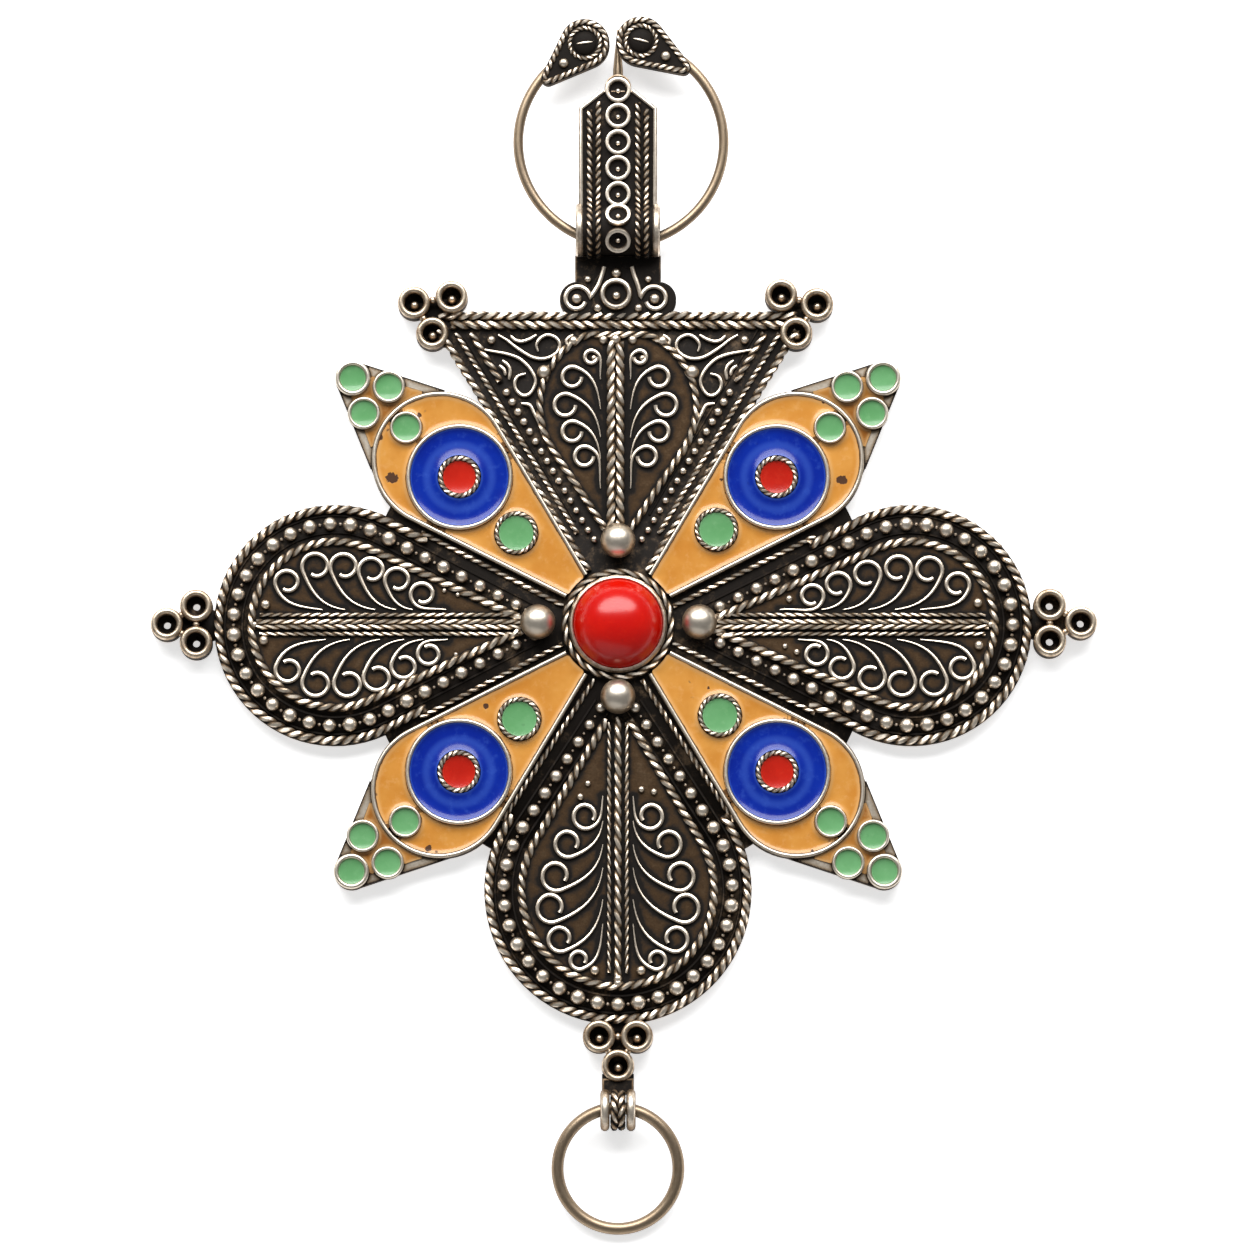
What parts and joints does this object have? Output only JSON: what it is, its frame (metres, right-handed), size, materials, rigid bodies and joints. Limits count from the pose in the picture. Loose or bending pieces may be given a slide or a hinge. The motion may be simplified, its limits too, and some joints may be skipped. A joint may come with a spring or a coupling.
{
  "type": "berber fibula brooch",
  "caption": "Silver cross-shaped fibula with filigree lobes, enamelled petals and a domed red stone, an open ring in a barrel at the top and a small ring in a bail below.",
  "frame": {"origin": "on the flat back face, under the middle of the coral", "axes": "+Y towards the open ring, +X to the wearer's left as the front is seen with the ring up, +Z out of the front face"},
  "size_m": [0.1133, 0.1463, 0.0071],
  "materials": {
    "body_silver": "oxidised silver, polished on the raised work",
    "filigree_silver": "oxidised silver wire work",
    "ring_silver": "warm worn silver wire",
    "coral": "polished coral",
    "orange_enamel": "glossy enamel with small stains",
    "blue_enamel": "glossy enamel",
    "red_enamel": "glossy enamel",
    "green_enamel": "glossy enamel"
  },
  "bodies": {
    "root": {"plate": "body_silver", "panel_left": "filigree_silver", "panel_right": "filigree_silver", "panel_bottom": "filigree_silver", "panel_top": "filigree_silver", "tongue": "body_silver", "pin": "ring_silver", "bezel": "body_silver", "coral": "coral", "hub_ball_1": "body_silver", "hub_ball_2": "body_silver", "hub_ball_3": "body_silver", "hub_ball_4": "body_silver", "orange_1": "orange_enamel", "orange_2": "orange_enamel", "orange_3": "orange_enamel", "orange_4": "orange_enamel", "blue_1": "blue_enamel", "blue_2": "blue_enamel", "blue_3": "blue_enamel", "blue_4": "blue_enamel", "red_1": "red_enamel", "red_2": "red_enamel", "red_3": "red_enamel", "red_4": "red_enamel", "green_1_1": "green_enamel", "green_1_2": "green_enamel", "green_1_3": "green_enamel", "green_1_4": "green_enamel", "green_1_5": "green_enamel", "green_2_1": "green_enamel", "green_2_2": "green_enamel", "green_2_3": "green_enamel", "green_2_4": "green_enamel", "green_2_5": "green_enamel", "green_3_1": "green_enamel", "green_3_2": "green_enamel", "green_3_3": "green_enamel", "green_3_4": "green_enamel", "green_3_5": "green_enamel", "green_4_1": "green_enamel", "green_4_2": "green_enamel", "green_4_3": "green_enamel", "green_4_4": "green_enamel", "green_4_5": "green_enamel"},
    "ring": {"ring": "ring_silver"},
    "drop_ring": {"drop_ring": "ring_silver"}
  },
  "joints": [
    {"name": "ring_swing", "type": "hinge", "parent": "root", "child": "ring", "pos_m": [0, 0.0475, 0.003], "axis": [1, 0, 0], "range_deg": [0, 160]},
    {"name": "drop_ring_swing", "type": "hinge", "parent": "root", "child": "drop_ring", "pos_m": [0, -0.0582, 0.0026], "axis": [-1, 0, 0], "range_deg": [-90, 150]}
  ]
}
